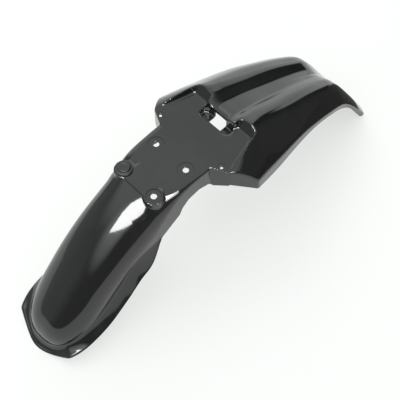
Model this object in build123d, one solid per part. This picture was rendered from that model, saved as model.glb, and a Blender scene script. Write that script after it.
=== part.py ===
"""Motorcycle front mudguard: one moulded shell with a rubber plug in one of its four mounting holes.

Millimetres. +X is forward, +Y is the rider's left, +Z is up from the flat mounting plate.
The origin is the middle of the four mounting holes, on the top face of the plate.
"""

import math
import os

from build123d import *

# Shell
wall = 3.0
trim_reach = 330.0
tail_pitch = 10.0
nose_pitch = 20.0
cutter_margin = 60.0

# Mounting plate and its holes
bolt_pitch_x = 70.0
bolt_pitch_y = 70.0
bolt_hole_d = 10.5
boss_d = 34.0
boss_depth = 40.0
boss_dish_d = 25.0
boss_dish_depth = 1.2
spot_face_d = 27.0
spot_face_depth = 0.8
trim_hole_x = 79.0
trim_hole_y = 72.0
trim_hole_d = 5.5
trim_ring_d = 14.0
trim_ring_depth = 0.5
plate_half_width = 60.0
plate_edge_round = 5.0
plate_back_x = -47.0
plate_step = 2.5
tongue_half_width = 28.0
plate_slab = 18.0
plate_gap = 0.5

# Wings at the sides of the plate
notch_x = 67.0
notch_y = 61.0
wing_back_x = 80.0
wing_back_y = 88.0
wing_tip_x = 120.0
wing_tip_y = 119.0
rim_front_x = 152.0
rim_front_y = 62.0
rim_draft = 2.0
finger_inner_y = 36.0
step_run = 28.0
recess_height = 40.0
recess_back_x = 27.0
recess_back_flare = 12.0
wing_root = 1.0
plate_overlap = 10.0
plate_side_gap = 4.0

# Pocket and window between plate and nose
pocket_width = 69.0
pocket_length = 20.0
pocket_x = 138.5
pocket_depth = 13.0
window_width = 27.0
window_top = 1.0
mouth_low_x = pocket_x + 2
mouth_low_y = pocket_width / 2 - 4
mouth_high_x = pocket_x + 8
mouth_high_y = pocket_width / 2 - 12

# Tail
tail_half_width = 62.5
tail_drop = 67.0
tail_flat = 6.0
tail_overlap = 8.0
arch_fullness = 0.62
arch_flat = [(-83, tail_flat), (-45, tail_flat + 3), (-8, 26), (10, 39), (28, 50), (45, 54)]
arch_flat_most = 0.85
arch_drop = [(-83, tail_drop), (-45, 58), (-8, 31), (10, 20), (28, 10), (45, plate_edge_round)]
arch_side = [(-83, tail_half_width), (28, plate_half_width), (70, notch_y)]
end_power = 2.3
tail_slope_start = 20.0
tail_slope_end = 46.5
tail_bend_run = 140.0
tail_end_x = -281.0
tail_round_x = -205.0
tail_end_flat = 10.0
tail_dome_drop = 22.0
tail_dome_power = 10
end_drop_loss = 0.75
end_drop_power = 3
crown_steps = 60
crease_height = [(-300, -236), (-268, -218), (-229, -193), (-188, -174), (-144, -137), (-98, -94)]
crease_height += [(-71, -88), (-50, -90)]

# Brim round the tail
brim_start_x = -50.0
brim_width = [(-281, 13), (-246, 16), (-120, 16), (-92, 14), (-80, 12), (-68, 8), (-60, 5), (-50, 2)]
brim_drop = [(-281, 16), (-240, 17), (-200, 21), (-120, 26), (-92, 32), (-80, 30), (-68, 22)]
brim_drop += [(-60, 14), (-50, 6)]
brim_lean = 35.0
brim_edge = 4.0
brim_root = 6.0
brim_sections = 20
brim_end_points = 8
brim_bury = 0.4
brim_step = 0.05
brim_inner = 1.8
brim_under = 0.5

# Lower edge of the walls in front of the tail, side view
plate_wall_edge = [(-4, -67), (3, -53), (17, -42), (40, -38), (61, -44), (68.5, -52), (82, -37), (122, -58)]
nose_lip_edge = [(155, -66), (187, -71), (221, -73), (256, -77), (292, -84), (346, -106)]
nose_lip_edge += [(385, -128), (424, -161)]

# Nose, as rails of (place along X, size)
ridge_half_width = [(66, 93), (120, 73.6), (150, 62.7), (190, 53), (269, 47.3), (365, 39)]
ridge_half_width += [(425, 35), (505, 33)]
ridge_height = [(66, 1.5), (82, 2), (120, 13), (153, 20), (190, 10.5), (269, -21.5), (318, -43), (365, -68)]
ridge_height += [(400, -92), (425, -122), (455, -167), (520, -267)]
edge_half_width = [(66, 128), (120, 119), (190, 108), (269, 95), (346, 84), (425, 75), (455, 75.5), (505, 77)]
edge_height = [(66, -26), (120, -33), (190, -43.5), (256, -57), (318, -81), (365, -103), (400, -124)]
edge_height += [(425, -149), (455, -189), (520, -289)]
nose_ridge_round = 9.0
nose_edge_cut = 2.5
channel_round = 5.0
channel_half_width = 33.0
channel_floor_half = 17.0
channel_taper = 0.030
channel_depth = 9.0
channel_back_x = 148.0
channel_fade = [(channel_back_x, 1.0), (300, 0.8), (440, 0.04)]
channel_floor_taper = 1.1
ridge_proud = 4.0
slope_probe = 5.0
rail_round_loss = 0.5
ridge_round_loss = 0.6
nose_end_x = 490.0
nose_end_z = -241.0
nose_end_slope = 57.0
nose_lip = 10.0
nose_tip_round = 12.0
nose_overrun = 20.0
nose_end_straight = 40.0
nose_lip_start = (1, -0.25)

# Rubber plug
plug_flange_d = 29.0
plug_flange_t = 4.0
plug_cap_d = 21.0
plug_cap_t = 4.5
plug_edge_cut = 1.2
plug_lip_d = 13.5
plug_lip_t = 3.0
plug_clearance = 0.1


def blend(x, knots):
    """Smooth value at x through (x, value) knots, with no overshoot beyond its neighbours."""
    if x <= knots[0][0]:
        return knots[0][1]
    if x >= knots[-1][0]:
        return knots[-1][1]
    rise = [(b[1] - a[1]) / (b[0] - a[0]) for a, b in zip(knots, knots[1:])]
    lean = [rise[0]]
    for left, right in zip(rise, rise[1:]):
        lean.append(0.0 if left * right <= 0 else 2 * left * right / (left + right))
    lean.append(rise[-1])
    i = max(k for k in range(len(rise)) if knots[k][0] <= x)
    span = knots[i + 1][0] - knots[i][0]
    t = (x - knots[i][0]) / span
    low, high = knots[i][1], knots[i + 1][1]
    return (
        low * (2 * t**3 - 3 * t**2 + 1)
        + high * (3 * t**2 - 2 * t**3)
        + span * lean[i] * (t**3 - 2 * t**2 + t)
        + span * lean[i + 1] * (t**3 - t**2)
    )


def stations(low, high, pitch):
    """Evenly spaced places along X."""
    count = round((high - low) / pitch)
    return [low + (high - low) * k / count for k in range(count + 1)]


def end_share(x, inset):
    """How far x is into the rounded end of the tail, from 0 to 1."""
    return min(max((tail_round_x - x) / (tail_round_x - tail_end_x - inset), 0.0), 1.0)


def crown(x):
    """Height of the middle of the tail at x."""
    run = max(plate_back_x - x, 0.0) / crown_steps
    fall = 0.0
    for k in range(crown_steps):
        share = min(run * (k + 0.5) / tail_bend_run, 1.0)
        fall += run * math.tan(math.radians(tail_slope_start + (tail_slope_end - tail_slope_start) * share))
    step = plate_step * min(max(x / plate_back_x, 0.0), 1.0)
    return -step - fall - tail_dome_drop * end_share(x, 0.0) ** tail_dome_power


def tail_section(x, inset):
    """Closed outline of the tail and plate across X, inset from the outer face."""
    share = end_share(x, inset)
    side = blend(x, arch_side)
    half = max((side - inset) * (1 - share**end_power) ** (1 / end_power), tail_end_flat - inset)
    flat = min(blend(x, arch_flat), half * arch_flat_most)
    drop = blend(x, arch_drop) * (1 - end_drop_loss * share**end_drop_power)
    fall = (crown(x + 1) - crown(x - 1)) / 2
    top = crown(x) - inset * math.hypot(1, fall)
    arch = [
        (flat, top),
        (flat + (half - flat) * arch_fullness, top),
        (half, top - drop * (1 - arch_fullness)),
        (half, top - drop),
    ]
    right = [(x, y, z) for y, z in arch]
    left = [(x, -y, z) for y, z in reversed(arch)]
    foot = -trim_reach
    edges = [
        Line((x, -half, foot), left[0]),
        Bezier(*left),
        Line(left[-1], right[0]),
        Bezier(*right),
        Line(right[-1], (x, half, foot)),
        Line((x, half, foot), (x, -half, foot)),
    ]
    return Wire(edges)


def tail_body(inset):
    """Solid under the tail and plate skin, with a rounded end."""
    places = stations(tail_end_x + inset, notch_x + tail_overlap, tail_pitch)
    return Part() + Solid.make_loft([tail_section(x, inset) for x in places])


def nose_profile(x):
    """Half outline of the nose at x, from the middle outwards."""
    ridge_y = blend(x, ridge_half_width)
    ridge_z = blend(x, ridge_height)
    fade = blend(x, channel_fade)
    taper = max(x - channel_back_x, 0.0) * channel_taper
    rail_z = ridge_z - ridge_proud
    return [
        (channel_floor_half - taper * channel_floor_taper, rail_z - channel_depth * fade),
        (channel_half_width - taper, rail_z),
        (ridge_y, ridge_z),
        (blend(x, edge_half_width), blend(x, edge_height)),
    ]


def offset_line(points, gaps):
    """Points of a polyline moved to its right by one gap for each segment."""
    shifted = []
    for (a, b), gap in zip(zip(points, points[1:]), gaps):
        length = math.hypot(b[0] - a[0], b[1] - a[1])
        normal = ((b[1] - a[1]) / length * gap, -(b[0] - a[0]) / length * gap)
        shifted.append(((a[0] + normal[0], a[1] + normal[1]), (b[0] + normal[0], b[1] + normal[1])))
    moved = [shifted[0][0]]
    for (a, b), (c, d) in zip(shifted, shifted[1:]):
        r = (b[0] - a[0], b[1] - a[1])
        s = (d[0] - c[0], d[1] - c[1])
        cross = r[0] * s[1] - r[1] * s[0]
        t = ((c[0] - a[0]) * s[1] - (c[1] - a[1]) * s[0]) / cross
        moved.append((a[0] + r[0] * t, a[1] + r[1] * t))
    moved.append(shifted[-1][1])
    return moved


def nose_section(x, inset):
    """Closed outline of the wing and nose across X, inset from the outer face."""
    half = nose_profile(x)
    half = [(0.0, half[0][1])] + half + [(half[-1][0], -trim_reach)]
    floor_round = rail_round = channel_round
    ridge_round = nose_ridge_round
    if inset:
        fall = blend(x + slope_probe, ridge_height) - blend(x - slope_probe, ridge_height)
        fall = fall / (2 * slope_probe)
        skin = inset * math.hypot(1, fall)
        half = offset_line(half, [skin, skin, skin, skin, inset])
        floor_round += skin
        rail_round -= rail_round_loss * skin
        ridge_round -= ridge_round_loss * inset
    else:
        ridge, edge = half[3:5]
        cut = nose_edge_cut / math.dist(ridge, edge)
        upper = (edge[0] + (ridge[0] - edge[0]) * cut, edge[1] + (ridge[1] - edge[1]) * cut)
        half[4:5] = [upper, (edge[0], edge[1] - nose_edge_cut)]
    right = half[1:]
    left = [(-y, z) for y, z in reversed(right)]
    rounds = [floor_round, rail_round, ridge_round] + [0.0] * (len(right) - 3)
    corners = rounds[::-1] + rounds
    outline = FilletPolyline(*(left + right), radius=corners, close=True)
    return Plane(origin=(x, 0, 0), x_dir=(0, 1, 0), z_dir=(1, 0, 0)) * outline


def both_sides(points):
    """Polygon points of the left side followed by their mirror."""
    return points + [(x, -y) for x, y in reversed(points)]


def plan_face(points, amount):
    """Face over a plan polygon, grown by an amount all round."""
    face = make_face(Polyline(*points, close=True))
    return offset(face, amount, kind=Kind.INTERSECTION) if amount else face


def wing_outside(inset):
    """Areas outside the wings' rear edges, one on each side."""
    back = recess_back_x
    out = wing_tip_y + cutter_margin
    area = [
        (back, notch_y),
        (notch_x, notch_y),
        (wing_back_x, wing_back_y),
        (wing_tip_x, wing_tip_y),
        (wing_tip_x, out),
        (back, out),
    ]
    solid = extrude(Pos(0, 0, -2 * trim_reach) * plan_face(area, inset), 3 * trim_reach)
    return solid + mirror(solid, Plane.XZ)


def recess(inset):
    """Space above the plate, between the rims and the nose."""
    low = [
        (recess_back_x, wing_back_y + recess_back_flare),
        (wing_back_x, wing_back_y),
        (rim_front_x, rim_front_y),
        (rim_front_x, finger_inner_y),
        (mouth_low_x, mouth_low_y),
    ]
    high = [
        (recess_back_x, wing_back_y + recess_back_flare + rim_draft),
        (wing_back_x, wing_back_y + rim_draft),
        (rim_front_x + step_run, rim_front_y + rim_draft),
        (rim_front_x + step_run, finger_inner_y),
        (mouth_high_x, mouth_high_y),
    ]
    floor = Pos(0, 0, -inset) * plan_face(both_sides(low), inset)
    ceiling = Pos(0, 0, recess_height) * plan_face(both_sides(high), inset)
    return loft([floor, ceiling], ruled=True)


def pocket(inset):
    """Slot with round ends between plate and nose."""
    slot = Rot(0, 0, 90) * SlotOverall(pocket_width + 2 * inset, pocket_length + 2 * inset)
    return extrude(Pos(pocket_x, 0, -pocket_depth - inset) * slot, pocket_depth + recess_height)


def nose_body(inset):
    """Solid under the wing and nose skin, with the plate's recess cut out."""
    places = stations(notch_x - wing_root, nose_end_x + nose_overrun, nose_pitch)
    body = Part() + Solid.make_loft([nose_section(x, inset).wire() for x in places])
    return body - wing_outside(inset) - recess(inset)


def plate_back(inset):
    """Round turrets under the two rear mounting holes, and the end of the plate between them."""
    length = -plate_back_x - inset
    width = 2 * (tongue_half_width - inset)
    depth = boss_depth + inset
    solid = Part() + Pos(-length / 2, 0, -inset - depth / 2) * Box(length, width, depth)
    for side in (1, -1):
        spot = Pos(-bolt_pitch_x / 2, side * bolt_pitch_y / 2, -inset - depth / 2)
        solid += spot * Cylinder(boss_d / 2 - inset, depth)
    return solid


def plate_front(inset):
    """Front of the flat plate, between the wings' rear edges, the rims and the pocket."""
    outline = [
        (notch_x - plate_overlap, plate_half_width - plate_side_gap),
        (notch_x, notch_y),
        (wing_back_x, wing_back_y),
        (rim_front_x, rim_front_y),
        (rim_front_x, finger_inner_y),
        (mouth_low_x, mouth_low_y - 2 * plate_gap),
    ]
    face = plan_face(both_sides(outline), -inset - plate_gap)
    return extrude(Pos(0, 0, -inset - plate_slab) * face, plate_slab)


def body(inset):
    """Everything under the skin, inset from the outer face."""
    solid = tail_body(inset) + nose_body(inset) + plate_front(inset) + plate_back(inset)
    return solid - pocket(inset)


def side_outline():
    """Side view of what is kept: above the lower edge and behind the front end."""
    slope = math.radians(nose_end_slope)
    along = (math.cos(slope), -math.sin(slope))
    across = (math.sin(slope), math.cos(slope))
    corner = (nose_end_x - nose_lip * across[0], nose_end_z - nose_lip * across[1])
    front = (corner[0] + trim_reach * across[0], corner[1] + trim_reach * across[1])
    before = (corner[0] - nose_end_straight * along[0], corner[1] - nose_end_straight * along[1])
    places = stations(tail_end_x - tail_pitch, brim_start_x, tail_pitch)
    tail_edge = [(x, blend(x, crease_height)) for x in places]
    points = tail_edge + plate_wall_edge
    lip = Spline(plate_wall_edge[-1], *nose_lip_edge, before, tangents=[nose_lip_start, along])
    back = [(front[0], trim_reach), (points[0][0], trim_reach), points[0]]
    face = Plane.XZ * make_face(Polyline(*points) + lip + Polyline(before, corner, front, *back))
    tip = face.vertices().sort_by_distance((corner[0], 0, corner[1]))[0]
    return fillet(tip, nose_tip_round)


def brim_section(x, y, out):
    """Outline of the brim across its path, at a point of the crease with its outward direction."""
    width = blend(x, brim_width)
    drop = blend(x, brim_drop)
    lean = math.radians(brim_lean)
    end = (math.cos(lean), -math.sin(lean))
    inner = -brim_inner * wall
    top = [(-brim_bury * wall, brim_root), (brim_step * wall, 0.0), (width, -drop)]
    under = [(width, -drop - brim_edge), (inner, -wall - drop * brim_under), (inner, brim_root)]
    root = (x, y, blend(x, crease_height))
    plane = Plane(origin=root, x_dir=(out[0], out[1], 0), z_dir=(out[1], -out[0], 0))
    corners = [top[-1], *under, top[0]]
    edges = [Spline(*top, tangents=[(0, -1), end])]
    edges += [Line(a, b) for a, b in zip(corners, corners[1:])]
    return (plane * Wire(edges)).wire()


def brim():
    """Flared brim round the tail, both sides and the end."""
    turns = [math.pi / 2 * k / brim_end_points for k in range(1, brim_end_points + 1)]
    end = []
    for turn in turns:
        x = tail_round_x - (tail_round_x - tail_end_x) * math.sin(turn) ** (2 / end_power)
        y = tail_half_width * max(math.cos(turn), 0.0) ** (2 / end_power)
        end.append((x, y))
    path = Line((brim_start_x, tail_half_width), (tail_round_x, tail_half_width)) + Spline(
        (tail_round_x, tail_half_width), *end, tangents=[(-1, 0), (0, -1)]
    )
    wires = []
    for k in range(brim_sections + 1):
        point = path.wire().position_at(k / brim_sections)
        way = path.wire().tangent_at(k / brim_sections)
        wires.append(brim_section(point.X, point.Y, (way.Y, -way.X)))
    half = Part() + Solid.make_loft(wires)
    return half + mirror(half, Plane.XZ)


def bore(x, y, diameter, low, high):
    """Upright round cutter at a plan point."""
    return Pos(x, y, (low + high) / 2) * Cylinder(diameter / 2, high - low)


def mudguard():
    """The moulded shell."""
    shell = body(0.0) & extrude(side_outline(), 2 * wing_tip_y, both=True)
    shell = shell + brim() - body(wall)
    window_length = pocket_length + 2 * wall
    window_height = window_top + pocket_depth + 4 * wall
    window = Box(window_length, window_width, window_height)
    shell -= Pos(pocket_x + wall, 0, window_top - window_height / 2) * window
    clear = boss_depth / 2
    for side in (1, -1):
        y = side * bolt_pitch_y / 2
        shell -= bore(-bolt_pitch_x / 2, y, bolt_hole_d, -clear, clear)
        shell -= bore(-bolt_pitch_x / 2, y, boss_dish_d, -boss_dish_depth, clear)
        shell -= bore(bolt_pitch_x / 2, y, bolt_hole_d, -clear, clear)
        shell -= bore(bolt_pitch_x / 2, y, spot_face_d, -spot_face_depth, clear)
        shell -= bore(trim_hole_x, side * trim_hole_y, trim_hole_d, -clear, clear)
        shell -= bore(trim_hole_x, side * trim_hole_y, trim_ring_d, -trim_ring_depth, clear)
    return shell


def rubber_plug():
    """Plug with a round cap above the plate and a snap lip below it."""
    stem_d = bolt_hole_d - 2 * plug_clearance
    lip_top = -wall - plug_clearance
    cap = bore(0, 0, plug_cap_d, 0, plug_flange_t + plug_cap_t)
    cap = chamfer(cap.edges().group_by(Axis.Z)[-1], plug_edge_cut)
    flange = bore(0, 0, plug_flange_d, 0, plug_flange_t)
    flange = chamfer(flange.edges().group_by(Axis.Z)[-1], plug_edge_cut)
    stem = bore(0, 0, stem_d, lip_top - plug_lip_t, plug_flange_t)
    lip = bore(0, 0, plug_lip_d, lip_top - plug_lip_t, lip_top)
    lip = chamfer(lip.edges().group_by(Axis.Z)[0], (plug_lip_d - stem_d) / 2)
    return Pos(-bolt_pitch_x / 2, bolt_pitch_y / 2, 0) * (cap + flange + stem + lip)


os.makedirs("parts", exist_ok=True)
export_step(mudguard(), "parts/mudguard.step")
export_step(rubber_plug(), "parts/rubber_plug.step")
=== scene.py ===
import math

import bmesh
import bpy
import numpy as np
from mathutils import Matrix, Vector


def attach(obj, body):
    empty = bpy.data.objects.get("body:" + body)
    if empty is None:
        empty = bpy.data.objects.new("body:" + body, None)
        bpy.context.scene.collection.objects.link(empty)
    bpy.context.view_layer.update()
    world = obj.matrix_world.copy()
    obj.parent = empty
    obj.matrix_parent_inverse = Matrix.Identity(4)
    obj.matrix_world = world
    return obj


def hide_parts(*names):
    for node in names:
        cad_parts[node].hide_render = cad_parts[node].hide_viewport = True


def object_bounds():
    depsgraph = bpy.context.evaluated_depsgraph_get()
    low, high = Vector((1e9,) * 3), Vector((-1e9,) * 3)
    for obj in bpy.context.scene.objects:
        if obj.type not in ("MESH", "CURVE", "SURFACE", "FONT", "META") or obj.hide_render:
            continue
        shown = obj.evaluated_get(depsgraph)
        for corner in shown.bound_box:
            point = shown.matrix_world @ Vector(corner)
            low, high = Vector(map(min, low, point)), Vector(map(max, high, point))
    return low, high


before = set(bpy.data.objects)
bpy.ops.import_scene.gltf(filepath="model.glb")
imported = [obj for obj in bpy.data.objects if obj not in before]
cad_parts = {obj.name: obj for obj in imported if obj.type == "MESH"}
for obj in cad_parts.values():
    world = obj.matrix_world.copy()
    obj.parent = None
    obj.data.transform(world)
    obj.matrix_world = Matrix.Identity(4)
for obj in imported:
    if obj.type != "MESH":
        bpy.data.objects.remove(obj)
cad_low, cad_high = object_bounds()

# Sizes are in millimetres until a mesh is made, which is in metres.
MM = 0.001

# Shell and the fineness of its skin
wall = 3.0
outer_cell = 2.15
inner_cell = 4.5
slope_probe = 0.3
least_slope = 0.2
settle_rounds = 5
settle_share = 0.8
untangle_share = 0.05
smooth_angle = 38.0

# Slab that trims the skin to its side view
trim_reach = 330.0
trim_margin = 14.0
trim_half_width = 200.0
tail_trim_past = 10.0
tail_trim_steps = 60
lip_trim_steps = 90
tip_trim_steps = 9

# Mounting plate and its holes
bolt_pitch_x = 70.0
bolt_pitch_y = 70.0
bolt_hole_d = 10.5
boss_d = 34.0
boss_dish_d = 25.0
boss_dish_depth = 1.2
spot_face_d = 27.0
spot_face_depth = 0.8
trim_hole = (79.0, 72.0)
trim_hole_d = 5.5
trim_ring_d = 14.0
trim_ring_depth = 0.5
hole_edge = 0.5
hole_reach = 20.0
plate_half_width = 60.0
plate_edge_round = 5.0
plate_back_x = -47.0
plate_step = 2.5
plate_overlap = 10.0
tongue_half_width = 28.0

# Wings at the sides of the plate
notch = (67.0, 61.0)
wing_back = (80.0, 88.0)
wing_tip = (120.0, 119.0)
rim_front = (153.0, 67.0)
rim_draft = 3.0
finger_inner_y = 36.0
step_run = 28.0
recess_height = 40.0
recess_back_x = 27.0
recess_back_flare = 12.0

# Pocket and window between plate and nose
pocket_width = 69.0
pocket_length = 20.0
pocket_x = 138.5
pocket_depth = 13.0
# Step over the pocket, ahead of it and in from its end: at the foot, and more at the top
pocket_step_ahead = (2.0, 6.0)
pocket_step_in = (4.0, 8.0)
window_width = 27.0
window_top = 1.0

# Tail
tail_half_width = 62.5
tail_drop = 67.0
tail_flat = 6.0
arch_power = 2.23
end_power = 2.3
tail_slope_start = 20.0
tail_slope_end = 46.5
tail_bend_run = 140.0
tail_end_x = -281.0
tail_round_x = -205.0
tail_end_flat = 10.0
tail_dome_drop = 22.0
tail_dome_power = 10
tail_end_shallow = 0.75
tail_flat_limit = 0.85
tail_overlap = 8.0
crease_height = [(-300, -236), (-268, -218), (-229, -193), (-188, -174), (-144, -137), (-98, -94)]
crease_height += [(-71, -88), (-50, -90)]

# Half width, flat middle and side drop of the arch, from the tail to the plate
arch_side = [(-83, tail_half_width), (28, plate_half_width), (70, notch[1])]
arch_flat = [(-83, tail_flat), (-60, 10), (-45, 17), (-25, 31)]
arch_flat += [(-8, 42), (10, 49), (28, 53), (45, 54)]
arch_drop = [(-83, tail_drop), (-60, 62), (-45, 51), (-25, 32)]
arch_drop += [(-8, 18), (10, 11), (28, 7), (45, plate_edge_round)]

# Brim round the tail
brim_start_x = -46.0
brim_width = [(-205, 15.5), (-120, 16), (-92, 14.2), (-80, 12)]
brim_width += [(-68, 8), (-58, 4), (-50, 1.2), (-46, 0.4)]
brim_drop = [(-205, 20), (-120, 26), (-92, 31), (-80, 28.5)]
brim_drop += [(-68, 20), (-58, 9), (-50, -0.5), (-46, -3)]
# Slope at the outer edge, and how far the curve holds to the wall and to it: sides, then end
brim_lean = (50.0, 24.0)
brim_hold = (0.12, 0.45)
brim_shelf = (0.3, 0.45)
brim_corner_level = 20.0
# Section: rise of the root on the wall, how deep it sinks in, and the rolled edge with its thin tip
brim_root = 6.0
brim_root_sink = 0.4 * wall
brim_inner_sink = 1.8 * wall
brim_under_share = 0.5
brim_roll = 6.5
brim_roll_turn = 40.0
brim_roll_least = 0.05
brim_tip = 0.8
brim_tip_drop = 1.6
# A narrow brim has a smaller roll and tip: share at no width, and width over which it grows by one
brim_scale_least = 0.2
brim_scale_width = 10.0
# Outer edge where the side begins to close in, at the corner and in the middle of the end
brim_side = (-205.0, 78.0, -203.0)
brim_corner = (-271.0, 65.5, -223.5)
brim_middle = (-294.0, 0.0, -243.0)
brim_corner_turn = 43.0
brim_closing_power = (1.0, 2.9, 1.2)
brim_end_bend = 25.0
brim_end_rise_power = 2.35
# Fineness: rows along, rows that even out the root and the edge, and points across
brim_row = 2.0
brim_side_rows = 100
brim_end_rows = 200
brim_ease_rows = (15, 7)
brim_top_steps = 15
brim_roll_steps = 7
brim_tip_steps = 6

# Lower edge of the walls in front of the tail, side view
plate_wall_edge = [(-4, -67), (3, -53), (17, -42), (40, -38)]
plate_wall_edge += [(61, -44), (68.5, -52), (82, -37), (122, -58)]
nose_lip_edge = [(155, -66), (187, -71), (221, -73), (256, -77), (292, -84), (346, -106)]
nose_lip_edge += [(385, -128), (424, -161)]

# Nose, as rails of (place along X, size)
ridge_half_width = [(66, 93), (120, 73.6), (150, 62.7), (190, 53), (269, 47.3), (365, 39)]
ridge_half_width += [(425, 35), (505, 33)]
ridge_height = [(66, 1.5), (82, 2), (120, 13), (153, 20), (190, 10.5), (269, -21.5)]
ridge_height += [(318, -43), (365, -68), (400, -92), (425, -122), (455, -167), (520, -267)]
edge_half_width = [(66, 128), (120, 119), (190, 108), (269, 95)]
edge_half_width += [(346, 84), (425, 75), (455, 75.5), (505, 77)]
edge_height = [(66, -26), (120, -33), (190, -43.5), (256, -57), (318, -81)]
edge_height += [(365, -103), (400, -124), (425, -149), (455, -189), (520, -289)]
ridge_probe = 2.0
channel_half_width = 33.0
channel_floor_half = 17.0
channel_taper = 0.030
channel_floor_taper = 1.1
channel_depth = 9.0
channel_back_x = 148.0
channel_fade = [(148, 1.0), (300, 0.95), (390, 0.75), (440, 0.4), (480, 0.15)]
ridge_proud = 4.0
nose_end = (490.0, -241.0)
nose_end_slope = 57.0
nose_lip = 10.0
nose_tip_round = 12.0
nose_tip_run = 40.0
nose_overlap = 1.0

# How far the corners of the moulding are rounded
ridge_soft = [(100, 4.5), (150, 8), (220, 13), (350, 14), (450, 8)]
channel_soft = 1.8
edge_soft = 3.5
rim_soft = 2.6
flank_bulge = 5.0
recess_soft = 3.0
pocket_soft = 2.0
turret_soft = 1.5
tail_end_soft = 5.0

# Space in which the skin is looked for: along, to one side and up
grid_x = (tail_end_x - 6.0, nose_end[0] + 18.0)
grid_half_width = 126.0
grid_z = (nose_end[1] - 32.0, 30.0)

# Rubber plug
plug_flange_d = 29.0
plug_flange_t = 4.0
plug_cap_d = 21.0
plug_cap_t = 4.5
plug_lip_d = 13.5
plug_lip_t = 3.0
plug_clearance = 0.1
# Dimple in the cap, from its floor to its rim as shares of the cap's radius
plug_dimple_depth = 0.7
plug_dimple = (0.45, 0.62)
plug_cap_draft = 0.4
plug_flange_draft = 0.3
plug_round = 1.2
plug_round_share = 0.45
plug_round_steps = 5
lathe_steps = 72


def rail(x, knots):
    """Smooth value at x through (x, value) knots, with no overshoot between them."""
    at, value = np.array(knots, float).T
    rise = np.diff(value) / np.diff(at)
    product = rise[:-1] * rise[1:]
    same_way = product > 0
    both = np.where(same_way, rise[:-1] + rise[1:], 1.0)
    mean = np.where(same_way, 2 * product / both, 0.0)
    lean = np.concatenate([rise[:1], mean, rise[-1:]])
    x = np.clip(x, at[0], at[-1])
    k = np.clip(np.searchsorted(at, x, side="right") - 1, 0, len(rise) - 1)
    span = at[k + 1] - at[k]
    t = (x - at[k]) / span
    ends = value[k] * (2 * t**3 - 3 * t**2 + 1) + value[k + 1] * (3 * t**2 - 2 * t**3)
    return ends + span * (lean[k] * (t**3 - 2 * t**2 + t) + lean[k + 1] * (t**3 - t**2))


def soft_max(a, b, reach):
    """Greater of two distances, with the corner between them rounded over a reach."""
    share = np.maximum(reach - np.abs(a - b), 0.0) / reach
    return np.maximum(a, b) + share * share * reach / 4


def soft_min(a, b, reach):
    """Lesser of two distances, with the corner between them rounded over a reach."""
    return -soft_max(-a, -b, reach)


def left_of(x, y, a, b):
    """Distance to the left of the plan line from a to b."""
    dx, dy = b[0] - a[0], b[1] - a[1]
    return (dx * (y - a[1]) - dy * (x - a[0])) / np.hypot(dx, dy)


def end_share(x):
    """How far x is into the rounded end of the tail, from 0 to 1."""
    return np.clip((tail_round_x - x) / (tail_round_x - tail_end_x), 0.0, 1.0)


def crown(x):
    """Height of the middle of the tail at x."""
    start, end = math.radians(tail_slope_start), math.radians(tail_slope_end)
    turn = (end - start) / tail_bend_run
    run = np.maximum(plate_back_x - x, 0.0)
    bend = np.minimum(run, tail_bend_run)
    fall = (math.log(math.cos(start)) - np.log(np.cos(start + turn * bend))) / turn
    fall = fall + (run - bend) * math.tan(end)
    step = plate_step * np.clip(x / plate_back_x, 0.0, 1.0)
    return -step - fall - tail_dome_drop * end_share(x) ** tail_dome_power


def tail_field(x, y, z):
    """Distance outside the arched tail and the plate."""
    share = end_share(x)
    half = rail(x, arch_side) * (1 - share**end_power) ** (1 / end_power)
    half = np.maximum(half, tail_end_flat)
    flat = np.minimum(rail(x, arch_flat), half * tail_flat_limit)
    drop = rail(x, arch_drop) * (1 - tail_end_shallow * share**3)
    across = np.maximum((y - flat) / (half - flat), 0.0)
    upward = np.maximum((z - crown(x) + drop) / drop, 0.0)
    arch = (across**arch_power + upward**arch_power) ** (1 / arch_power)
    body = (arch - 1) * np.sqrt((half - flat) * drop)
    body = soft_max(body, tail_end_x - x, tail_end_soft)
    return np.maximum(body, x - notch[0] - tail_overlap)


def nose_height(x, y):
    """Height of the wing and nose skin over a plan point."""
    ridge_y, ridge_z = rail(x, ridge_half_width), rail(x, ridge_height)
    edge_y, edge_z = rail(x, edge_half_width), rail(x, edge_height)
    depth = channel_depth * rail(x, channel_fade)
    taper = np.maximum(x - channel_back_x, 0.0) * channel_taper
    floor_y = channel_floor_half - channel_floor_taper * taper
    rail_y = channel_half_width - taper
    rail_z = ridge_z - ridge_proud
    climb = rail_z - depth + (y - floor_y) * depth / (rail_y - floor_y)
    strip = rail_z + (y - rail_y) * ridge_proud / (ridge_y - rail_y)
    down = np.clip((y - ridge_y) / (edge_y - ridge_y), 0.0, 1.0)
    flank = ridge_z + (y - ridge_y) * (edge_z - ridge_z) / (edge_y - ridge_y)
    flank = flank + 4 * flank_bulge * down * (1 - down)
    top = soft_max(rail_z - depth, climb, channel_soft)
    top = soft_min(top, strip, channel_soft)
    return soft_min(top, flank, rail(x, ridge_soft))


def wing_field(x, y):
    """Distance outside the wings' rear edges."""
    return np.maximum(left_of(x, y, notch, wing_back), left_of(x, y, wing_back, wing_tip))


def recess_walls(x, y, z):
    """Distance outside the upright walls of the space above the plate."""
    lift = np.clip(z / recess_height, 0.0, 1.0)
    back = (wing_back[0], wing_back[1] + rim_draft * lift)
    front = (rim_front[0] + step_run * lift, rim_front[1] + rim_draft * lift)
    ahead = pocket_step_ahead[0] + pocket_step_ahead[1] * lift
    inward = pocket_step_in[0] + pocket_step_in[1] * lift
    middle = (pocket_x + ahead, pocket_width / 2 - inward)
    behind = (recess_back_x, back[1] + recess_back_flare)
    rim = np.maximum(left_of(x, y, back, front), left_of(x, y, behind, back))
    finger = left_of(x, y, (front[0], finger_inner_y), middle)
    step = np.maximum(x - front[0], soft_min(x - middle[0], finger, recess_soft))
    return soft_max(rim, step, recess_soft)


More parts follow.
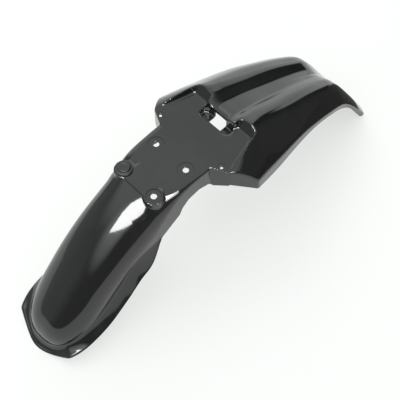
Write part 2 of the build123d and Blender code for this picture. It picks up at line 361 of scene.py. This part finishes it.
def nose_field(x, y, z):
    """Distance outside the wings and nose, with the space above the plate cut out."""
    fall = rail(x + ridge_probe, ridge_height) - rail(x - ridge_probe, ridge_height)
    fall = fall / (2 * ridge_probe)
    skin = (z - nose_height(x, y)) / np.hypot(1.0, fall)
    skin = soft_max(skin, y - rail(x, edge_half_width), edge_soft)
    skin = soft_max(skin, wing_field(x, y), rim_soft)
    recess = soft_max(-z, recess_walls(x, y, z), recess_soft)
    return np.maximum(soft_max(skin, -recess, rim_soft), notch[0] - nose_overlap - x)


def plate_front_field(x, y, z):
    """Distance outside the front of the flat plate."""
    plan = np.maximum(wing_field(x, y), recess_walls(x, y, np.zeros_like(z)) - wall)
    return np.maximum(np.maximum(plan, z), notch[0] - plate_overlap - x)


def plate_back_field(x, y, z):
    """Distance outside the turrets under the rear holes and the plate's end between them."""
    turret = np.hypot(x + bolt_pitch_x / 2, y - bolt_pitch_y / 2) - boss_d / 2
    tongue = np.maximum(np.maximum(plate_back_x - x, y - tongue_half_width), x)
    return soft_max(np.minimum(turret, tongue), z, turret_soft)


def pocket_field(x, y, z):
    """Distance outside the slot with round ends between plate and nose."""
    straight = (pocket_width - pocket_length) / 2
    slot = np.hypot(x - pocket_x, np.maximum(y - straight, 0.0)) - pocket_length / 2
    return soft_max(slot, -pocket_depth - z, recess_soft)


def lower_edge(x):
    """Height of the lower edge of the moulding in side view."""
    return rail(x, crease_height + plate_wall_edge + nose_lip_edge + [nose_end])


def skin_field(x, y, z, margin):
    """Distance outside the moulding's outer face, closed below its lower edge."""
    y = np.abs(y)
    body = np.minimum(tail_field(x, y, z), nose_field(x, y, z))
    body = np.minimum(body, plate_front_field(x, y, z))
    body = np.minimum(body, plate_back_field(x, y, z))
    body = soft_max(body, -pocket_field(x, y, z), pocket_soft)
    return np.maximum(body, lower_edge(x) - margin - z)


def skin_offset(points, margin, inset):
    """Distance of points from the face an inset below the outer one, and its direction."""
    x, y, z = points.T
    slope = []
    for axis in range(3):
        ahead, behind = points.copy(), points.copy()
        ahead[:, axis] += slope_probe
        behind[:, axis] -= slope_probe
        rise = skin_field(*ahead.T, margin) - skin_field(*behind.T, margin)
        slope.append(rise / (2 * slope_probe))
    slope = np.array(slope).T
    steep = np.maximum(np.linalg.norm(slope, axis=1), least_slope)
    return skin_field(x, y, z, margin) / steep + inset, slope / steep[:, None]


def grid_lines(low, high, cell):
    """Evenly spaced places from low to at least high."""
    return low + cell * np.arange(int((high - low) / cell) + 2)


def closed_skin(cell, margin, inset):
    """Points and faces of a closed skin that lies an inset below the outer face."""
    xs = grid_lines(*grid_x, cell)
    ys = cell / 2 + cell * np.arange(int(grid_half_width / cell))
    zs = grid_lines(*grid_z, cell)
    half = skin_field(xs[:, None, None], ys[None, :, None], zs[None, None, :], margin)
    value = np.concatenate([half[:, ::-1], half], axis=1)
    ys = np.concatenate([-ys[::-1], ys])
    steep = np.sqrt(sum(s * s for s in np.gradient(value, cell)))
    value = value / np.maximum(steep, least_slope) + inset
    for axis in range(3):
        ends = [slice(None)] * 3
        for end in (0, -1):
            ends[axis] = end
            value[tuple(ends)] = np.maximum(value[tuple(ends)], cell)
    untangle(value, cell)
    points, faces = wrap_cells(value, np.array([xs[0], ys[0], zs[0]]), cell)
    for _ in range(settle_rounds):
        away, way = skin_offset(points, margin, inset)
        points = points - np.clip(away, -cell, cell)[:, None] * way * settle_share
    return points, faces


def untangle(value, cell):
    """Takes out inside corners that touch another one only across the face of a cell."""
    found = True
    while found:
        found = False
        for first, second in ((0, 1), (0, 2), (1, 2)):
            corner = {}
            for a in (0, 1):
                for b in (0, 1):
                    part = [slice(None)] * 3
                    part[first] = slice(a, value.shape[first] - 1 + a)
                    part[second] = slice(b, value.shape[second] - 1 + b)
                    corner[a, b] = value[tuple(part)]
            for near, far in (((0, 0), (1, 1)), ((1, 0), (0, 1))):
                others = [corner[c] >= 0 for c in corner if c not in (near, far)]
                twist = (corner[near] < 0) & (corner[far] < 0) & others[0] & others[1]
                if twist.any():
                    corner[near][twist] = cell * untangle_share
                    found = True


def wrap_cells(value, low, cell):
    """Closed faces round the part of a grid of distances that lies inside."""
    inside = value < 0
    corners = [(i, j, k) for i in (0, 1) for j in (0, 1) for k in (0, 1)]
    size = np.array(value.shape) - 1
    count = np.zeros(tuple(size), np.int8)
    for i, j, k in corners:
        count += inside[i:i + size[0], j:j + size[1], k:k + size[2]]
    place = np.argwhere((count > 0) & (count < 8))
    number = np.full(tuple(size), -1, np.int64)
    number[tuple(place.T)] = np.arange(len(place))
    total = np.zeros((len(place), 3))
    hits = np.zeros(len(place))
    for a in corners:
        for axis in range(3):
            if a[axis]:
                continue
            b = list(a)
            b[axis] = 1
            at_a = value[tuple((place + a).T)]
            at_b = value[tuple((place + b).T)]
            cross = (at_a < 0) != (at_b < 0)
            share = np.where(cross, at_a / np.where(cross, at_a - at_b, 1.0), 0.0)
            spot = place + np.array(a, float)
            spot[:, axis] += share
            total += spot * cross[:, None]
            hits += cross
    points = low + cell * total / hits[:, None]
    faces = []
    for axis in range(3):
        first, second = [(1, 2), (2, 0), (0, 1)][axis]
        before = [slice(1, -1)] * 3
        before[axis] = slice(0, -1)
        after = list(before)
        after[axis] = slice(1, None)
        change = inside[tuple(before)].astype(np.int8) - inside[tuple(after)].astype(np.int8)
        for way in (1, -1):
            edge = np.argwhere(change == way) + 1
            edge[:, axis] -= 1
            ring = []
            for back_first, back_second in ((1, 1), (0, 1), (0, 0), (1, 0)):
                near = edge.copy()
                near[:, first] -= back_first
                near[:, second] -= back_second
                ring.append(number[tuple(near.T)])
            ring = np.array(ring).T
            faces.append(ring if way == 1 else ring[:, ::-1])
    return points, np.concatenate(faces)


def mesh_piece(name, points, faces):
    """Mesh object from points in millimetres and faces."""
    mesh = bpy.data.meshes.new(name)
    if isinstance(faces, np.ndarray):
        faces = faces.tolist()
    mesh.from_pydata((np.asarray(points) * MM).tolist(), [], faces)
    mesh.validate()
    piece = bpy.data.objects.new(name, mesh)
    bpy.context.scene.collection.objects.link(piece)
    return piece


def combine(piece, tool, operation):
    """Adds, cuts or keeps the common part of a piece and a tool, and removes the tool."""
    step = piece.modifiers.new("step", "BOOLEAN")
    step.operation = operation
    step.solver = "MANIFOLD"
    step.object = tool
    shown = piece.evaluated_get(bpy.context.evaluated_depsgraph_get())
    made = bpy.data.meshes.new_from_object(shown)
    piece.modifiers.clear()
    piece.data = made
    bpy.data.objects.remove(tool)
    return piece


def prism(name, outline, half_width):
    """Upright slab whose side view is an outline of (x, z) points."""
    count = len(outline)
    points = [(x, side * half_width, z) for side in (-1, 1) for x, z in outline]
    faces = [list(range(count)), list(range(2 * count - 1, count - 1, -1))]
    faces += [[(k + 1) % count, k, count + k, count + (k + 1) % count] for k in range(count)]
    return mesh_piece(name, points, faces)


def lathe(name, profile, spot):
    """Turned piece: a closed half outline of (radius, height) points round an upright line."""
    turns = np.linspace(0, 2 * math.pi, lathe_steps, endpoint=False)
    points, rings = [], []
    for radius, height in profile:
        if radius == 0:
            rings.append([len(points)] * lathe_steps)
            points.append((spot[0], spot[1], height))
        else:
            rings.append(list(range(len(points), len(points) + lathe_steps)))
            for t in turns:
                x, y = spot[0] + radius * math.cos(t), spot[1] + radius * math.sin(t)
                points.append((x, y, height))
    faces = []
    for low, high in zip(rings, rings[1:]):
        for k in range(lathe_steps):
            n = (k + 1) % lathe_steps
            face = [low[k], low[n], high[n], high[k]]
            face = [v for i, v in enumerate(face) if v != face[i - 1]]
            if len(face) > 2:
                faces.append(face)
    return mesh_piece(name, points, faces)


def side_outline():
    """Side view of what is kept: above the lower edge and behind the front end."""
    slope = math.radians(nose_end_slope)
    along = np.array([math.cos(slope), -math.sin(slope)])
    across = np.array([math.sin(slope), math.cos(slope)])
    corner = np.array(nose_end) - nose_lip * across
    start = corner - nose_tip_round * along
    middle = start + nose_tip_round * across
    tip = []
    for t in np.linspace(0, math.pi / 2, tip_trim_steps):
        tip.append(tuple(middle + nose_tip_round * (math.sin(t) * along - math.cos(t) * across)))
    tail_x = np.linspace(tail_end_x - tail_trim_past, brim_start_x, tail_trim_steps)
    tail = [(x, float(rail(x, crease_height))) for x in tail_x]
    before = corner - nose_tip_run * along
    lip_knots = [plate_wall_edge[-1]] + nose_lip_edge + [tuple(before)]
    lip_x = np.linspace(lip_knots[0][0], lip_knots[-1][0], lip_trim_steps)
    lip = [(x, float(rail(x, lip_knots))) for x in lip_x[1:]]
    front = corner + trim_reach * across
    points = tail + plate_wall_edge + lip + tip + [tuple(front)]
    return points + [(front[0], trim_reach), (points[0][0], trim_reach)]


def arc(spot, radius, start, finish, steps):
    """Points round a spot from one angle to another."""
    angles = np.linspace(start, finish, steps)
    return [spot + radius * np.array([math.cos(a), math.sin(a)]) for a in angles]


def brim_section(width, drop, end, aside):
    """Outline across the brim, from its root on the wall round its edge to its underside.

    End is 1 round the tail's end, and aside is 1 at the corners there.
    """
    lean, hold, shelf = (a + (b - a) * end for a, b in (brim_lean, brim_hold, brim_shelf))
    lean = math.radians(lean - brim_corner_level * end * aside**2)
    scale = min(1.0, brim_scale_least + width / brim_scale_width)
    roll, tip = brim_roll * scale, brim_tip * scale
    start = math.pi / 2 - lean
    turn = min(math.radians(brim_roll_turn), start - brim_roll_least)
    tip_spot = np.array([width - tip, -drop - brim_tip_drop])
    roll_spot = tip_spot + (tip - roll) * np.array([math.cos(turn), math.sin(turn)])
    foot, *edge = arc(roll_spot, roll, start, turn, brim_roll_steps)
    edge += arc(tip_spot, tip, turn, -math.pi / 2, brim_tip_steps)[1:]
    root = np.array([-brim_root_sink, brim_root])
    handle_root = root - np.array([0.0, brim_root + hold * drop])
    handle_foot = foot - shelf * width * np.array([math.cos(lean), -math.sin(lean)])
    top = []
    for t in np.linspace(0, 1, brim_top_steps):
        s = 1 - t
        near_root = s**3 * root + 3 * s * s * t * handle_root
        top.append(near_root + 3 * s * t * t * handle_foot + t**3 * foot)
    under = [np.array([-brim_inner_sink, -wall - drop * brim_under_share])]
    under += [np.array([-brim_inner_sink, brim_root])]
    return np.array(top + edge + under)


def brim_end_edge(turn):
    """Outer edge of the brim round the tail's end, by degrees from the side to the middle."""
    side, corner, middle = np.array(brim_side), np.array(brim_corner), np.array(brim_middle)
    closing = np.clip(turn / brim_corner_turn, 0, 1)[:, None]
    edge = side + (corner - side) * closing ** np.array(brim_closing_power)
    across = np.clip((90 - turn) / (90 - brim_corner_turn), 0, 1)
    bend = corner[1] / brim_end_bend
    bow = (np.hypot(1, across * bend) - 1) / (math.hypot(1, bend) - 1)
    rise = across**brim_end_rise_power
    end = middle + (corner - middle) * np.column_stack([bow, across, rise])
    return np.where((turn <= brim_corner_turn)[:, None], edge, end)


def brim_lines():
    """Root and outer edge of the brim on one side, from its start to the middle of the end."""
    x = np.linspace(brim_start_x, tail_round_x, brim_side_rows)
    root = np.column_stack([x, np.full(len(x), tail_half_width), rail(x, crease_height)])
    outer = root + np.column_stack([0 * x, rail(x, brim_width), -rail(x, brim_drop)])
    turn = np.linspace(0, 90, brim_end_rows)[1:]
    across = np.radians(turn)
    end_x = tail_round_x - (tail_round_x - tail_end_x) * np.sin(across) ** (2 / end_power)
    end_y = tail_half_width * np.maximum(np.cos(across), 0.0) ** (2 / end_power)
    end_root = np.column_stack([end_x, end_y, rail(end_x, crease_height)])
    return np.concatenate([root, end_root]), np.concatenate([outer, brim_end_edge(turn)])


def ease_line(points, rows):
    """Evens out the kinks of a line of points over some rows, leaving its ends where they are."""
    weight = np.hanning(rows + 2)[1:-1]
    weight = weight / weight.sum()
    before = 2 * points[0] - points[rows:0:-1]
    after = 2 * points[-1] - points[-2:-rows - 2:-1]
    longer = np.concatenate([before, points, after])
    eased = np.column_stack([np.convolve(longer[:, k], weight, "same") for k in range(3)])
    return eased[rows:-rows]


def brim():
    """Flared brim with a rolled edge, along both sides of the tail and round its end."""
    flip = np.array([1, -1, 1])
    root, outer = (np.concatenate([line, line[-2::-1] * flip]) for line in brim_lines())
    run = np.concatenate([[0], np.cumsum(np.linalg.norm(np.diff(outer, axis=0), axis=1))])
    even = np.linspace(0, run[-1], 2 * int(run[-1] / brim_row / 2) + 1)
    lines = []
    for line, rows in zip((root, outer), brim_ease_rows):
        spaced = np.column_stack([np.interp(even, run, line[:, k]) for k in range(3)])
        lines.append(ease_line(spaced, rows))
    root, outer = lines
    end = np.clip((brim_side[0] - outer[:, 0]) / (brim_side[0] - brim_corner[0]), 0, 1)
    end = end * end * (3 - 2 * end)
    aside = np.minimum(np.abs(outer[:, 1]) / brim_corner[1], 1.0)
    points = []
    for foot, edge, *shares in zip(root, outer, end, aside):
        reach = edge - foot
        width = math.hypot(reach[0], reach[1])
        section = brim_section(width, -reach[2], *shares)
        for u, v in section:
            x, y = foot[:2] + u * reach[:2] / width
            points.append((x, y, foot[2] + v))
    count, across = len(root), len(section)
    faces = []
    for r in range(count - 1):
        for k in range(across):
            n = (k + 1) % across
            this, after = r * across, (r + 1) * across
            faces.append([this + k, this + n, after + n, after + k])
    faces.append(list(range(across - 1, -1, -1)))
    faces.append([(count - 1) * across + k for k in range(across)])
    return mesh_piece("brim", points, faces)


def sunk_hole(hole_d, ring_d, ring_depth):
    """Half outline of a cutter for a hole with a shallow sunk ring round it."""
    ring, hole = ring_d / 2, hole_d / 2
    outline = [(0, hole_reach), (ring + hole_edge, hole_reach), (ring + hole_edge, hole_edge / 2)]
    outline += [(ring, -ring_depth), (hole + hole_edge, -ring_depth)]
    return outline + [(hole, -ring_depth - hole_edge), (hole, -hole_reach), (0, -hole_reach)]


def outward(piece):
    """Turns every face of a closed piece outward."""
    net = bmesh.new()
    net.from_mesh(piece.data)
    bmesh.ops.recalc_face_normals(net, faces=net.faces)
    net.to_mesh(piece.data)
    net.free()
    return piece


def finish_skin(piece):
    """Smooth shading, sharp only where the moulding turns a hard corner."""
    piece.data.shade_smooth()
    piece.data.set_sharp_from_angle(angle=math.radians(smooth_angle))
    return piece


def make_mudguard():
    """The moulded shell."""
    shell = mesh_piece("mudguard_shell", *closed_skin(outer_cell, trim_margin, 0.0))
    combine(shell, outward(prism("side_view", side_outline(), trim_half_width)), "INTERSECT")
    combine(shell, outward(brim()), "UNION")
    hollow = mesh_piece("hollow", *closed_skin(inner_cell, 2 * trim_margin, wall))
    combine(shell, hollow, "DIFFERENCE")
    window_length = pocket_length + 2 * wall
    window_height = window_top + pocket_depth + 4 * wall
    low_x = pocket_x + wall - window_length / 2
    high_x = low_x + window_length
    low_z = window_top - window_height
    box = [(low_x, low_z), (high_x, low_z), (high_x, window_top), (low_x, window_top)]
    combine(shell, outward(prism("window", box, window_width / 2)), "DIFFERENCE")
    for side in (1, -1):
        y = side * bolt_pitch_y / 2
        holes = [
            ((-bolt_pitch_x / 2, y), (bolt_hole_d, boss_dish_d, boss_dish_depth)),
            ((bolt_pitch_x / 2, y), (bolt_hole_d, spot_face_d, spot_face_depth)),
            ((trim_hole[0], side * trim_hole[1]), (trim_hole_d, trim_ring_d, trim_ring_depth)),
        ]
        for spot, sizes in holes:
            combine(shell, outward(lathe("hole", sunk_hole(*sizes), spot)), "DIFFERENCE")
    return finish_skin(shell)


def rounded(corners, radius):
    """Points of an outline, rounded at all its corners but the two ends."""
    points = [corners[0]]
    for a, b, c in zip(corners, corners[1:], corners[2:]):
        a, b, c = np.array(a, float), np.array(b, float), np.array(c, float)
        long_in, long_out = np.linalg.norm(a - b), np.linalg.norm(c - b)
        reach = min(radius, long_in * plug_round_share, long_out * plug_round_share)
        start, finish = b + (a - b) / long_in * reach, b + (c - b) / long_out * reach
        for t in np.linspace(0, 1, plug_round_steps):
            points.append(tuple((1 - t) ** 2 * start + 2 * t * (1 - t) * b + t * t * finish))
    return points + [corners[-1]]


def make_plug():
    """Plug with a round cap above the plate and a snap lip below it."""
    stem = bolt_hole_d / 2 - plug_clearance
    lip_top = -wall - plug_clearance
    high = plug_flange_t + plug_cap_t
    cap, flange, lip = plug_cap_d / 2, plug_flange_d / 2, plug_lip_d / 2
    dimple = high - plug_dimple_depth
    corners = [(0, dimple), (cap * plug_dimple[0], dimple)]
    corners += [(cap * plug_dimple[1], high), (cap, high)]
    corners += [(cap + plug_cap_draft, plug_flange_t), (flange, plug_flange_t)]
    corners += [(flange + plug_flange_draft, 0), (stem, 0), (stem, lip_top), (lip, lip_top)]
    corners += [(stem, lip_top - plug_lip_t), (0, lip_top - plug_lip_t)]
    spot = (-bolt_pitch_x / 2, bolt_pitch_y / 2)
    return finish_skin(outward(lathe("rubber_plug_turned", rounded(corners, plug_round), spot)))


# Finishes

grain_detail = 3.0
rub_detail = 6.0
rub_breakup = 0.65
rub_range = (0.52, 0.70)
dust_scale = 260.0
speck_range = (0.10, 0.04)
surface_ior = 1.5

# Sockets of a Mix node for colours
MIX_A, MIX_B, MIX_RESULT = 6, 7, 2


def node_tree_group(name, inputs, outputs):
    """Empty shader node group with named value inputs and outputs, and its two end nodes."""
    group = bpy.data.node_groups.new(name, "ShaderNodeTree")
    for label, start in inputs:
        socket = group.interface.new_socket(label, in_out="INPUT", socket_type="NodeSocketFloat")
        socket.default_value = start
    for label in outputs:
        group.interface.new_socket(label, in_out="OUTPUT", socket_type="NodeSocketFloat")
    return group, group.nodes.new("NodeGroupInput"), group.nodes.new("NodeGroupOutput")


def add_node(tree, kind, links=None, **settings):
    """Node with settings, and links from sockets to its inputs."""
    node = tree.nodes.new(kind)
    for key, value in settings.items():
        setattr(node, key, value)
    for key, value in (links or {}).items():
        if isinstance(value, bpy.types.NodeSocket):
            tree.links.new(value, node.inputs[key])
        else:
            node.inputs[key].default_value = value
    return node


def between(tree, value, ends, to=(0.0, 1.0)):
    """Output of a node that spreads a value from one range over another."""
    links = {"Value": value, "From Min": ends[0], "From Max": ends[1]}
    links.update({"To Min": to[0], "To Max": to[1]})
    return add_node(tree, "ShaderNodeMapRange", links).outputs[0]


def math_node(tree, operation, *values):
    """Output of a math node."""
    return add_node(tree, "ShaderNodeMath", dict(enumerate(values)), operation=operation).outputs[0]


def colour_mix(tree, share, first, second):
    """Output of a node that goes from one colour to another by a share."""
    links = {"Factor": share, MIX_A: first, MIX_B: second}
    return add_node(tree, "ShaderNodeMix", links, data_type="RGBA").outputs[MIX_RESULT]


def handled_skin_group():
    """Fine mould grain, light rub marks and a trace of dust, for plastic and rubber alike."""
    inputs = [("Grain scale", 900.0), ("Rub scale", 30.0), ("Grain depth", 0.5)]
    group, start, end = node_tree_group("handled skin", inputs, ["Height", "Rub", "Dust"])
    at = add_node(group, "ShaderNodeTexCoord").outputs["Object"]
    fine = {"Vector": at, "Scale": start.outputs["Grain scale"], "Detail": grain_detail}
    grain = add_node(group, "ShaderNodeTexNoise", fine)
    broad = {"Vector": at, "Scale": start.outputs["Rub scale"], "Detail": rub_detail}
    rub = add_node(group, "ShaderNodeTexNoise", {**broad, "Roughness": rub_breakup})
    cells = {"Vector": at, "Scale": dust_scale}
    dust = add_node(group, "ShaderNodeTexVoronoi", cells, feature="F1")
    speck = between(group, dust.outputs["Distance"], speck_range)
    patch = between(group, rub.outputs["Fac"], rub_range)
    dusty = math_node(group, "MULTIPLY", speck, patch)
    height = math_node(group, "MULTIPLY", grain.outputs["Fac"], start.outputs["Grain depth"])
    group.links.new(height, end.inputs["Height"])
    group.links.new(patch, end.inputs["Rub"])
    group.links.new(dusty, end.inputs["Dust"])
    return group


def finish(name, group, values, colours, roughness, bump, gloss):
    """Material with the handled skin.

    Colours are for clean, rubbed and dusty, and roughness is for clean and rubbed. Bump is its
    strength and its distance in metres.
    """
    material = bpy.data.materials.new(name)
    material.use_nodes = True
    tree = material.node_tree
    shader = tree.nodes["Principled BSDF"]
    skin = add_node(tree, "ShaderNodeGroup", node_tree=group)
    for label, value in values.items():
        skin.inputs[label].default_value = value
    clean, rubbed, dusty = ((*colour, 1.0) for colour in colours)
    colour = colour_mix(tree, skin.outputs["Rub"], clean, rubbed)
    colour = colour_mix(tree, skin.outputs["Dust"], colour, dusty)
    rough = between(tree, skin.outputs["Rub"], (0.0, 1.0), roughness)
    relief = {"Height": skin.outputs["Height"], "Strength": bump[0], "Distance": bump[1]}
    relief = add_node(tree, "ShaderNodeBump", relief)
    tree.links.new(colour, shader.inputs["Base Color"])
    tree.links.new(rough, shader.inputs["Roughness"])
    tree.links.new(relief.outputs[0], shader.inputs["Normal"])
    shader.inputs["IOR"].default_value = surface_ior
    shader.inputs["Specular IOR Level"].default_value = gloss
    return material


def dress(piece, material, node):
    """Gives a piece its finish, and lets it stand for its CAD node."""
    piece.data.materials.clear()
    piece.data.materials.append(material)
    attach(piece, "root")
    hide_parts(node)


skin_group = handled_skin_group()
gloss_black = finish(
    "gloss black plastic", skin_group,
    values={"Grain scale": 700.0, "Rub scale": 22.0, "Grain depth": 0.4},
    colours=[(0.011, 0.011, 0.012), (0.014, 0.014, 0.015), (0.03, 0.03, 0.03)],
    roughness=(0.075, 0.13), bump=(0.03, 0.0002), gloss=0.66)
matt_rubber = finish(
    "matt black rubber", skin_group,
    values={"Grain scale": 1400.0, "Rub scale": 90.0, "Grain depth": 1.0},
    colours=[(0.012, 0.012, 0.013), (0.018, 0.018, 0.019), (0.035, 0.035, 0.034)],
    roughness=(0.46, 0.62), bump=(0.25, 0.0003), gloss=0.5)

guard = make_mudguard()
dress(guard, gloss_black, "mudguard")
plug = make_plug()
dress(plug, matt_rubber, "rubber_plug")


# Studio: floor and painted shade sheet in millimetres, camera and lights in metres

floor_reach = 1500.0
floor_gap = 0.2
floor_tones = [(0.86, 0.88, 0.86, 1.0), (0.89, 0.90, 0.89, 1.0)]
floor_cloud_scale = 2.0
floor_cloud_detail = 2.0
floor_roughness = 0.9
floor_gloss = 0.2
floor_white = 0.64
floor_white_colour = (0.985, 1.0, 0.985, 1.0)
# Painted shade: a dark sheet that only reflections show, where the nose's shadow lies on the floor
# in front of it
shade_sheet_far = 3000.0
shade_sheet_lift = 0.5
shade_sheet_corners = [(515, -shade_sheet_far), (shade_sheet_far, -shade_sheet_far), (shade_sheet_far, 150), (640, 45), (515, 15)]
shade_sheet_colour = (0.05, 0.045, 0.04, 1.0)
shade_sheet_roughness = 0.6
room_colour = (0.98, 1.0, 0.99, 1.0)
room_bright = 0.17
focal_length = 76.5
sensor_width = 36.0
camera_spot = (-0.461, -0.574, 1.149)
camera_azimuth = 225.59
camera_elevation = 59.54
camera_roll = 0.17


def make_camera():
    """Camera above the near rear corner, looking down along the guard."""
    az, el, roll = (math.radians(a) for a in (camera_azimuth, camera_elevation, camera_roll))
    look = -Vector((math.cos(el) * math.cos(az), math.cos(el) * math.sin(az), math.sin(el)))
    right = look.cross(Vector((0, 0, 1))).normalized()
    up = right.cross(look)
    right, up = (math.cos(roll) * right + math.sin(roll) * up,
                 math.cos(roll) * up - math.sin(roll) * right)
    data = bpy.data.cameras.new("camera")
    data.lens = focal_length
    data.sensor_width = sensor_width
    camera = bpy.data.objects.new("camera", data)
    aim = Matrix((right, up, -look)).transposed().to_4x4()
    camera.matrix_world = Matrix.Translation(camera_spot) @ aim
    bpy.context.scene.collection.objects.link(camera)
    bpy.context.scene.camera = camera


def stage_top(name, finish_name, corners, level):
    """Flat top at a level, from plan corners, with a finish of its own, and that finish's nodes."""
    points = [(x, y, level) for x, y in corners]
    top = mesh_piece(name, points, [list(range(len(points)))])
    material = bpy.data.materials.new(finish_name)
    material.use_nodes = True
    top.data.materials.append(material)
    return top, material.node_tree


def make_floor():
    """Pale floor under the guard, nearly white to the camera and in reflections."""
    r = floor_reach
    level = cad_low.z / MM - floor_gap
    corners = [(-r, -r), (r, -r), (r, r), (-r, r)]
    floor, tree = stage_top("floor", "pale floor", corners, level)
    shader = tree.nodes["Principled BSDF"]
    cloud = {"Scale": floor_cloud_scale, "Detail": floor_cloud_detail}
    cloud = add_node(tree, "ShaderNodeTexNoise", cloud).outputs["Fac"]
    tree.links.new(colour_mix(tree, cloud, *floor_tones), shader.inputs["Base Color"])
    shader.inputs["Roughness"].default_value = floor_roughness
    shader.inputs["Specular IOR Level"].default_value = floor_gloss
    ray = add_node(tree, "ShaderNodeLightPath").outputs
    seen = math_node(tree, "MAXIMUM", ray["Is Camera Ray"], ray["Is Glossy Ray"])
    seen = math_node(tree, "MAXIMUM", seen, ray["Is Transmission Ray"])
    share = math_node(tree, "MULTIPLY", seen, floor_white)
    white = add_node(tree, "ShaderNodeEmission", {"Color": floor_white_colour, "Strength": 1.0})
    mixed = {0: share, 1: shader.outputs[0], 2: white.outputs[0]}
    mixed = add_node(tree, "ShaderNodeMixShader", mixed)
    tree.links.new(mixed.outputs[0], tree.nodes["Material Output"].inputs["Surface"])


def make_shade_sheet():
    """Dark sheet in front of the nose, which only reflections show: painted shade for the nose's
    shadow on the floor.
    """
    level = cad_low.z / MM + shade_sheet_lift
    shade_sheet, tree = stage_top("painted shade sheet", "painted shade sheet finish", shade_sheet_corners, level)
    shader = tree.nodes["Principled BSDF"]
    shader.inputs["Base Color"].default_value = shade_sheet_colour
    shader.inputs["Roughness"].default_value = shade_sheet_roughness
    shade_sheet.visible_camera = False
    shade_sheet.visible_diffuse = False
    shade_sheet.visible_shadow = False


def heading(azimuth, elevation):
    """Direction from an azimuth and an elevation in degrees."""
    az, el = math.radians(azimuth), math.radians(elevation)
    return Vector((math.cos(el) * math.cos(az), math.cos(el) * math.sin(az), math.sin(el)))


def soft_light(name, azimuth, elevation, away, size, brightness, turn=0.0):
    """Rectangular soft light that faces the plate, with the brightness of its face."""
    data = bpy.data.lights.new(name, "AREA")
    data.shape = "RECTANGLE"
    data.size, data.size_y = size
    data.energy = brightness * math.pi * size[0] * size[1]
    light = bpy.data.objects.new(name, data)
    way = heading(azimuth, elevation)
    aim = (-way).to_track_quat("-Z", "Y").to_matrix() @ Matrix.Rotation(math.radians(turn), 3, "Z")
    light.matrix_world = Matrix.Translation(way * away) @ aim.to_4x4()
    light.visible_camera = False
    bpy.context.scene.collection.objects.link(light)
    return light


# What the gloss mirrors of the room: heading, cosines where it begins and is full, brightness.
# The last one takes light away on its side of an edge.
room_panels = {
    "ceiling": ((0, 0, 1), (0.5, 0.82), 1.0),
    "wall in front": (heading(47, 10), (0.73, 0.80), 1.25),
    "glow round the window": (heading(-172, 47), (0.84, 0.98), 1.15),
    "far side": (heading(125, 2), (0.5, 0.98), 0.3),
    "near side": (heading(-55, 5), (0.5, 0.95), 0.16),
    "edge of the wall in front": ((0.861, 0.172, -0.479), (-0.004, 0.004), -0.16),
}


def panel(tree, direction, way, ends):
    """Mask of the room's directions near a heading."""
    near = {0: direction, 1: way}
    near = add_node(tree, "ShaderNodeVectorMath", near, operation="DOT_PRODUCT").outputs["Value"]
    links = {"Value": near, "From Min": ends[0], "From Max": ends[1]}
    return add_node(tree, "ShaderNodeMapRange", links, interpolation_type="SMOOTHSTEP").outputs[0]


def make_room():
    """Dim room with soft pale panels that the gloss mirrors, plain white to the camera."""
    world = bpy.data.worlds.new("room")
    bpy.context.scene.world = world
    world.use_nodes = True
    tree = world.node_tree
    back = tree.nodes["Background"]
    direction = add_node(tree, "ShaderNodeTexCoord").outputs["Generated"]
    total = room_bright
    for way, ends, strength in room_panels.values():
        mask = panel(tree, direction, way, ends)
        total = math_node(tree, "MULTIPLY_ADD", mask, strength, total)
    seen = add_node(tree, "ShaderNodeLightPath").outputs["Is Camera Ray"]
    shown = add_node(tree, "ShaderNodeMix", {0: seen, 2: total, 3: 1.0})
    tree.links.new(shown.outputs[0], back.inputs["Strength"])
    back.inputs["Color"].default_value = room_colour


make_camera()
make_floor()
make_shade_sheet()
make_room()
softbox = soft_light(
    "far side softbox", azimuth=85, elevation=60, away=1.75, size=(0.9, 0.9), brightness=3.2)
softbox.visible_glossy = False
window = soft_light(
    "window", azimuth=-146, elevation=53, away=1.5, size=(1.9, 0.68), brightness=16.0, turn=-10.0)
side_window = soft_light(
    "side window", azimuth=-103, elevation=38, away=1.5, size=(0.65, 0.8), brightness=10.0)
for light in (window, side_window):
    light.visible_diffuse = False

scene = bpy.context.scene
scene.view_settings.view_transform = "Standard"
